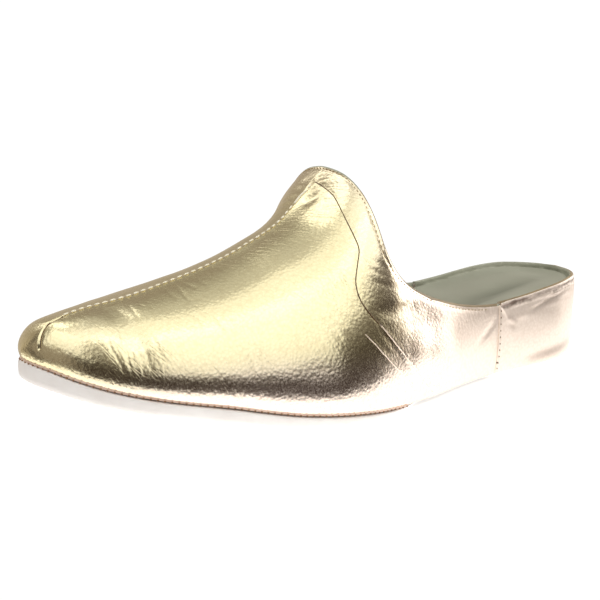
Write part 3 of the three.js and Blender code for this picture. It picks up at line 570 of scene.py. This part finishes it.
def moulded_rubber(name):
    """Microcellular rubber, moulded and buffed: matt, pale and slightly chalky, with tiny cells."""
    material, tree, shader, place = new_material(name)
    chalk = add(tree, "TexNoise", Vector=place, Scale=per(9), Detail=5.0).outputs[0]
    colour = add(tree, "ValToRGB", stops=[(0.3, "EFEAE6"), (0.7, "F8F5F2")], n0=chalk).outputs[0]
    cells = add(tree, "TexNoise", Vector=place, Scale=per(0.5), Detail=2.0).outputs[0]
    bump = add(tree, "Bump", Strength=0.35, Distance=0.06 * MM, Height=cells).outputs[0]
    connect(tree, shader, Base_Color=colour, Normal=bump)
    shader.inputs["Roughness"].default_value = 0.62
    return material


def waxed_thread(name, light, dark):
    """Linen thread, twisted and waxed: a soft shine, with streaks across the strand."""
    material, tree, shader, place = new_material(name)
    # Real strands are about 0.35 mm apart. They are drawn at 0.69 mm so that they show.
    twist = add(tree, "TexWave", Vector=place, Scale=per(0.69) * WAVE_TURN, Distortion=1.5).outputs[0]
    colour = add(tree, "ValToRGB", stops=[(0.2, dark), (0.8, light)], n0=twist).outputs[0]
    bump = add(tree, "Bump", Strength=0.4, Distance=0.05 * MM, Height=twist).outputs[0]
    connect(tree, shader, Base_Color=colour, Normal=bump)
    shader.inputs["Roughness"].default_value = 0.5
    return material


foil = foil_leather("foil_laminated_leather", 1.0, 0.15, 0.32)
heel_foil = foil_leather("rose_foil_laminated_leather", 0.0, 0.07, 0.60)
# Plated under a hot press: a pale satin lining, and a footbed that the foot has rubbed shinier.
lining = dyed_leather("plated_lining_leather", "B1B29F", "A2A48F", 0.46, 0.9, 0.05)
footbed_leather = dyed_leather("plated_footbed_leather", "A2A492", "939583", 0.32, 0.8, 0.05)
# Cut and burnished with wax: a brown line with a dull shine.
cut_edge = dyed_leather("burnished_cut_edge", "A58F68", "84704C", 0.45, 0.6, 0.05)
rubber = moulded_rubber("moulded_microcellular_rubber")
# Split and folded without foil: a matt rose strip.
welt = dyed_leather("rose_welt_leather", "EACFBC", "D9B8A2", 0.5, 0.6, 0.04)
cream_thread = waxed_thread("waxed_cream_thread", "FFFBEA", "FAF0D0")
brown_thread = waxed_thread("waxed_brown_thread", "7C6242", "55402A")
tan_thread = waxed_thread("waxed_tan_thread", "A9805E", "7E583E")
gold_thread = waxed_thread("waxed_gold_thread", "D9C79A", "A98F62")


# The upper.
def collar_inset(outer_points, tree, collar):
    """The collar's line moved down the outer leather by the topstitch's inset."""
    line = smooth_path(collar, 1.5)
    moved = []
    for i, p in enumerate(line):
        run = line[min(i + 1, len(line) - 1)] - line[max(i - 1, 0)]
        run = run / np.linalg.norm(run)
        offset = outer_points - p
        gap = np.linalg.norm(offset, axis=1)
        ring = (gap > 0.6 * TOPSTITCH_INSET) & (gap < 2.2 * TOPSTITCH_INSET)
        if not ring.any():
            continue
        best = offset[ring][np.argmin(np.abs(offset[ring] @ run) / gap[ring])]
        inward = best - run * (best @ run)
        place = tree.find_nearest(Vector(p + inward / np.linalg.norm(inward) * TOPSTITCH_INSET) * MM)[0]
        moved.append(np.array(place) / MM)
    moved = np.array(moved)
    return np.array([moved[max(i - 2, 0):i + 3].mean(0) for i in range(len(moved))])


def mark_skins(bm):
    """Gives the upper's outer skin the foil, its inner skin the lining and all the rest the cut edge."""
    for face in bm.faces:
        face.material_index = CUT
    for region in face_regions(bm):
        outward = 0.0
        area = 0.0
        for face in region:
            centre = face.calc_center_median() / MM
            hollow = Vector((min(centre.x, HOLLOW_FRONT), HOLLOW_Y, HOLLOW_HEIGHT))
            outward += face.normal.dot((centre - hollow).normalized()) * face.calc_area()
            area += face.calc_area() / MM ** 2
        if area > SHELL_AREA:
            for face in region:
                face.material_index = OUTER if outward > 0 else LINED


def outer_border(bm):
    """The line round the outer leather in millimetres, from the near end of the collar."""
    links = {}
    for edge in bm.edges:
        skins = {f.material_index for f in edge.link_faces}
        if len(skins) == 2 and OUTER in skins:
            a, b = edge.verts
            links.setdefault(a, []).append(b)
            links.setdefault(b, []).append(a)
    start = min(links, key=lambda v: (v.co.y < 0,
                                      abs(v.co.z / MM - COLLAR_START_Z) + abs(v.co.x / MM - SEAM_X)))
    loop, previous, here = [start], None, start
    while True:
        following = [v for v in links[here] if v is not previous]
        if not following or following[0] is start or len(loop) > len(links):
            break
        previous, here = here, following[0]
        loop.append(here)
    return [tuple(v.co / MM) for v in loop]


def far_twin(path):
    """A near crease's twin on the far side of the foot."""
    return [(x + FAR_SHIFT[0], FAR_SHIFT[1] - y, z) for x, y, z in path if y > TWIN_FROM_Y]


def upper_creases(points, tree):
    """How far the creases lower each point. Those in front of the waist have a softer twin."""
    depth = np.zeros(len(points))
    for path, drop, half in CREASES:
        depth += crease(points, tree, path, drop, half)
        twin = far_twin(path)
        if path[0][0] > WAIST_X and len(twin) > 1:
            depth += crease(points, tree, twin, drop * TWIN_SHARE, half)
    return depth


def make_upper():
    """The upper, the line round its outer leather and the line of its topstitch."""
    bm = merged_copy("upper")
    mark_skins(bm)
    border = outer_border(bm)
    bm = subdivided(bm, 2)
    foil_faces = [f for f in bm.faces if f.material_index == OUTER]
    foil_edges = {e for f in foil_faces for e in f.edges
                  if all(g.material_index == OUTER for g in e.link_faces)}
    bmesh.ops.subdivide_edges(bm, edges=list(foil_edges), cuts=1, use_grid_fill=True)
    points, normals = coordinates(bm)
    outer = np.array([all(f.material_index == OUTER for f in v.link_faces) for v in bm.verts])
    tree = BVHTree.FromBMesh(bm)
    collar = [p for p in border if p[2] > COLLAR_LOW and p[0] > SEAM_X]
    topstitch = collar_inset(points[outer], tree, collar)
    depth = upper_creases(points, tree)
    depth += groove(points, smooth_path(COLLAR_SEAM, 1.5), *COLLAR_SEAM_GROOVE)
    depth += groove(points, smooth_path(TOE_SLIT, 1.0), *TOE_SLIT_GROOVE)
    depth += groove(points, topstitch, *TOPSTITCH_GROOVE)
    depth += undulation(points, UPPER_WAVES)
    closed_border = np.array(border + border[:1])
    border_gap, _ = near_path(points, closed_border)
    depth *= np.clip(border_gap / EDGE_FADE, 0, 1)
    move_in(bm, normals, np.where(outer, depth, 0.0))
    # The near collar shows its folded edge as a thin line. The far one shows its lining.
    centres = np.array([f.calc_center_median() for f in bm.faces]) / MM
    edge_gap, _ = near_path(centres, closed_border)
    for face, (x, y, z), gap in zip(bm.faces, centres, edge_gap):
        low_collar = z > COLLAR_LOW and x < TONGUE_BACK_X
        if y < 0 and (abs(x - SEAM_X) < 0.3 or (face.material_index == CUT and low_collar)):
            face.material_index = LINED
        elif face.material_index == LINED and gap < FOLDED_EDGE and y > 0 and z > COLLAR_LOW:
            face.material_index = CUT
    obj = piece_from(bm, "upper_shell", [foil, lining, cut_edge])
    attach(obj, "root")
    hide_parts("upper")
    return obj, border, topstitch


# The heel cover.
def rim_height(x):
    """How high the heel cover's rim stands above the floor at a distance x from the heel seat."""
    return np.interp(x, [r[0] for r in RIM_ROWS], [r[1] for r in RIM_ROWS])


def bell(offset, half):
    """A soft band: 1 in its middle, fading over its half width."""
    return np.exp(-((offset / half) ** 2))


def rim_gathers(points):
    """How far the gathers under the rim lower each point, and how much painted shade darkens the foil there.
    """
    below = rim_height(points[:, 0]) - points[:, 2]
    turn = np.arctan2(points[:, 1], -(points[:, 0] - BACK_X))
    along = np.where(points[:, 0] > BACK_X, points[:, 0], -BACK_RADIUS * (math.pi / 2 - np.abs(turn)))
    # Sines whose waves don't keep step make the gathers irregular. Each is in radians a millimetre.
    wave = np.sin(along * 0.43 + 1.0) + 0.7 * np.sin(along * 0.91)
    pleats = 0.5 + 0.5 * np.sin(along * 2.6 + 1.7 * np.sin(along * 0.41) + 0.9 * np.sin(along * 1.13))
    patchy = 0.75 + 0.25 * np.sin(along * 0.8 + 1.3 * np.sin(along * 2.1))
    groove_below, groove_half, groove_depth = RIM_GROOVE
    pleat_below, pleat_half, pleat_depth = RIM_PLEATS
    depth = bell(below - groove_below - 0.22 * wave, groove_half) * (groove_depth + 0.08 * wave)
    depth += bell(below - pleat_below, pleat_half) * pleat_depth * pleats
    shade_share = np.interp(along, [r[0] for r in RIM_SHADE_SHARE], [r[1] for r in RIM_SHADE_SHARE])
    # Painted shade: a dark line just under the rim's edge, and a patchy band below it.
    line = bell(below - 1.5 - 0.15 * wave, 0.45) * (0.35 + 0.35 * shade_share)
    shade_band = bell(below - 2.1 - 0.2 * wave, 0.5 + 0.5 * shade_share) * shade_share * patchy * (0.8 + 0.2 * pleats)
    return depth, line + shade_band


def mark_rim(bm):
    """Lines the rim's inside. On the near side its folded edge shows as a thin line."""
    for face in bm.faces:
        centre = face.calc_center_median() / MM
        if centre.z < rim_height(centre.x) - RIM_DROP and centre.x < SEAM_X - 1.5:
            continue
        inward = Vector((max(2.0 - centre.x, 0.0), -centre.y, 0.0)).normalized()
        at_far_seam = abs(centre.x - SEAM_X) < 0.3 and centre.y < 0
        if at_far_seam or face.normal.dot(inward) > 0.3:
            face.material_index = LINED
        elif face.normal.z > 0.75:
            face.material_index = CUT if centre.y > 0.0 else LINED


def make_heel_cover():
    """The leather over the wedge, gathered under its rim, with painted shade under the rim, in its folds and
    at its bottom back edge, and with the rim's inside lined.
    """
    bm = subdivided(merged_copy("wedge_heel"), 3)
    points, normals = coordinates(bm)
    tree = BVHTree.FromBMesh(bm)
    wall = np.abs(normals[:, 2]) < 0.6
    outside = (points[:, 2] > 2.0) & wall & (points[:, 0] < SEAM_X)
    depth, shade = rim_gathers(points)
    depth += undulation(points, HEEL_WAVES)
    for path, drop, half in HEEL_FOLDS:
        depth += crease(points, tree, path, drop, half)
    for path, amount, half in HEEL_PAINTED_SHADE:
        shade += crease(points, tree, path, amount, half)
    # Painted shade under the rim, in the folds and at the bottom back edge, kept to the outer wall.
    painted_shade = bm.verts.layers.float.new("painted_shade")
    for vert, amount in zip(bm.verts, np.where(outside, shade, 0.0)):
        vert[painted_shade] = float(min(amount, MOST_PAINTED_SHADE))
    move_in(bm, normals, np.where(outside, depth, 0.0))
    mark_rim(bm)
    obj = piece_from(bm, "heel_cover", [heel_foil, lining, cut_edge])
    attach(obj, "root")
    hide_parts("wedge_heel")


# The footbed and the sole.
def make_footbed():
    """The padded footbed, with the trough and the swell that a foot has left in it."""
    bm = subdivided(merged_copy("insole"), 2)
    points, normals = coordinates(bm)
    tree = BVHTree.FromBMesh(bm)
    soft = sum(crease(points, tree, path, depth, half) for path, depth, half in PAD_FORMS)
    soft = np.where(normals[:, 2] > 0.4, soft, 0.0)
    # Painted shade along the trough, from 0 to 1, that darkens the footbed's colour.
    painted_trough_shade = bm.verts.layers.float.new("painted_trough_shade")
    for vert, amount in zip(bm.verts, soft):
        vert[painted_trough_shade] = float(max(amount, 0.0)) / PAD_TROUGH
    move_in(bm, normals, soft)
    obj = piece_from(bm, "padded_footbed", [footbed_leather])
    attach(obj, "root")
    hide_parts("insole")


def make_sole():
    """The soft sole, which is smooth all over."""
    obj = piece_from(subdivided(merged_copy("outsole"), 2), "soft_sole", [rubber])
    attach(obj, "root")
    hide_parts("outsole")


upper, border_line, topstitch_line = make_upper()
upper_tree = tree_of(upper)
make_heel_cover()
make_footbed()
make_sole()

# Threads and welts.
stitch_row("centre_stitches", upper_tree, CENTRE_SEAM, CENTRE_PITCH, CENTRE_STITCH, cream_thread, lift=0.24)
thread_line("seam_end_thread", upper_tree, SEAM_END, 0.5, cream_thread, sink=-0.1)
thread_line("collar_seam_thread", upper_tree, COLLAR_SEAM, 0.20, brown_thread, sink=-0.08)
thread_line("toe_slit_thread", upper_tree, TOE_SLIT, 0.22, brown_thread, sink=0.05)

feather = [p for p in border_line if p[2] < COLLAR_LOW and p[0] > FEATHER_BACK_X]
welt_path = [(x, y, z - WELT_DROP) for x, y, z in feather]
feather_welt = thread_line("feather_welt", upper_tree, welt_path, WELT_RADIUS, welt, sink=0.12)
stitch_path = []
for x, y, z in feather:
    away = Vector((x - min(x, HOLLOW_FRONT), y - HOLLOW_Y, 0.0)).normalized() * WELT_OUT
    stitch_path.append((x + away.x, y + away.y, z - WELT_DOWN))
stitch_row("feather_stitches", tree_of(feather_welt), stitch_path, FEATHER_PITCH, FEATHER_STITCH, tan_thread,
           lift=0.2)

thread_line("heel_seam_welt", upper_tree, HEEL_SEAM, 0.4, heel_foil, sink=0.2)
inner_seam = [(x, -y, min(z, 22.0)) for x, y, z in HEEL_SEAM]
thread_line("heel_seam_welt_inner", upper_tree, inner_seam, 0.5, heel_foil, sink=0.25)
stitch_row("heel_seam_stitches", upper_tree, HEEL_STITCHES, HEEL_SEAM_PITCH, HEEL_SEAM_STITCH, brown_thread,
           lift=0.1, turn=HEEL_STITCH_TURN)

# The two lines are raised ridges, and their pale rose foil, lighter than the gold round them, is a painted
# highlight along them.
thread_line("quarter_line", upper_tree, QUARTER_LINE, 0.24, heel_foil, sink=0.02)
thread_line("quarter_line_short", upper_tree, QUARTER_LINE_SHORT, 0.17, heel_foil, sink=0.02)
stitch_row("collar_topstitch", upper_tree, topstitch_line, TOPSTITCH_PITCH, TOPSTITCH, gold_thread, lift=0.05)

# The floor: a pale oval board, larger than the slipper. It glows like paper that is lit from below.
FLOOR_CENTRE = (0.060, -0.008, 0.0)
FLOOR_HALF = (0.200, 0.098, 1.0, 1.0)
floor_bm = bmesh.new()
bmesh.ops.create_circle(floor_bm, cap_ends=True, segments=96, radius=1.0,
                        matrix=Matrix.Translation(FLOOR_CENTRE) @ Matrix.Diagonal(FLOOR_HALF))
board, board_tree, board_shader, board_place = new_material("matt_white_board")
blotch = add(board_tree, "TexNoise", Vector=board_place, Scale=per(400)).outputs[0]
board_colour = add(board_tree, "ValToRGB", stops=[(0.0, "F4F3F1"), (1.0, "FAF9F8")], n0=blotch).outputs[0]
connect(board_tree, board_shader, Base_Color=board_colour)
board_shader.inputs["Roughness"].default_value = 0.8
board_shader.inputs["Emission Color"].default_value = linear("FFFFFF")
board_shader.inputs["Emission Strength"].default_value = 0.66
piece_from(floor_bm, "floor", [board])


def studio_tent():
    """The tent that the foil mirrors, dim low down and pale above. The camera sees plain white."""
    world = bpy.data.worlds.new("studio")
    world.use_nodes = True
    bpy.context.scene.world = world
    tree = world.node_tree
    tree.nodes.clear()
    way = add(tree, "TexCoord").outputs["Generated"]
    up = add(tree, "SeparateXYZ", n0=way).outputs["Z"]
    # On the side that the slipper's near wall mirrors, the tent is dark low down.
    front_wall = add(tree, "ValToRGB", stops=[(0.0, "3A302B"), (0.12, "3C322C"), (0.40, "706860"),
                                              (0.80, "B8B4AC"), (0.90, "DAD8D2")], n0=up).outputs[0]
    other_walls = add(tree, "ValToRGB", stops=[(0.0, "C6BAAC"), (0.36, "A89E92"), (0.58, "968C82"),
                                               (0.80, "B0ACA4"), (0.92, "D4D2CC")], n0=up).outputs[0]
    facing = add(tree, "VectorMath", DOT, n0=way, n1=(0.568, 0.823, 0.0)).outputs["Value"]
    front = add(tree, "MapRange", SMOOTH, n0=facing, n1=-0.17, n2=-0.06).outputs[0]
    walls = add(tree, "Mix", COLOUR_MIX, n0=front, n6=other_walls, n7=front_wall).outputs[2]
    # The wall that the toe points at is paler near the floor.
    ahead = add(tree, "VectorMath", DOT, n0=way, n1=(0.997, -0.080, 0.0)).outputs["Value"]
    ahead = add(tree, "MapRange", SMOOTH, n0=ahead, n1=0.78, n2=0.96).outputs[0]
    low = add(tree, "MapRange", SMOOTH, n0=up, n1=0.10, n2=0.26, n3=0.85, n4=0.0).outputs[0]
    pale = add(tree, "Math", TIMES, n0=ahead, n1=low).outputs[0]
    walls = add(tree, "Mix", COLOUR_MIX, n0=pale, n6=walls, n7=linear("A89E96")).outputs[2]
    tent = add(tree, "Background", Color=walls, Strength=1.0).outputs[0]
    plain = add(tree, "Background", Color=linear("FFFFFF"), Strength=1.05).outputs[0]
    seen = add(tree, "LightPath").outputs["Is Camera Ray"]
    mixed = add(tree, "MixShader", n0=seen, n1=tent, n2=plain).outputs[0]
    add(tree, "OutputWorld", Surface=mixed)


studio_tent()

AIM = Vector((0.1106, 0.0, 0.0367))     # the middle of the slipper in the photo
LIGHT_DISTANCE = 1.2


def soft_box(name, azimuth, elevation, width, height, watts):
    """A rectangular soft box that faces the slipper. Angles in degrees, azimuth 0 looking along +Y."""
    light = bpy.data.lights.new(name, "AREA")
    light.shape = "RECTANGLE"
    light.size = width
    light.size_y = height
    light.energy = watts
    obj = bpy.data.objects.new(name, light)
    bpy.context.scene.collection.objects.link(obj)
    turn, rise = math.radians(azimuth), math.radians(elevation)
    direction = Vector((math.sin(turn) * math.cos(rise), -math.cos(turn) * math.cos(rise), math.sin(rise)))
    obj.location = AIM + direction * LIGHT_DISTANCE
    obj.rotation_euler = (-direction).to_track_quat("-Z", "Y").to_euler()


soft_box("left_box", 105, 33, 1.12, 1.10, 4.35)
soft_box("right_box", 178, 37, 0.88, 1.26, 3.9)
soft_box("over_box", 186, 75, 1.30, 0.70, 1.8)
soft_box("heel_box", 270, 16, 1.00, 1.00, 6.2)
soft_box("side_box", 217, 38, 0.46, 0.40, 0.65)
soft_box("tongue_box", 45, 62, 0.50, 0.45, 0.9)
soft_box("back_strip", 17, 42, 0.28, 0.80, 1.0)

# The camera stands where the photo's did: 145.4 degrees round, 11.6 up and 0.47 m from AIM.
camera_data = bpy.data.cameras.new("camera")
camera_data.lens = 73.9
camera_data.sensor_width = 36.0
camera = bpy.data.objects.new("camera", camera_data)
bpy.context.scene.collection.objects.link(camera)
camera.location = (0.3700, 0.3762, 0.1307)
camera.rotation_euler = (AIM - camera.location).to_track_quat("-Z", "Y").to_euler()
bpy.context.scene.camera = camera
bpy.context.scene.view_settings.view_transform = "Standard"
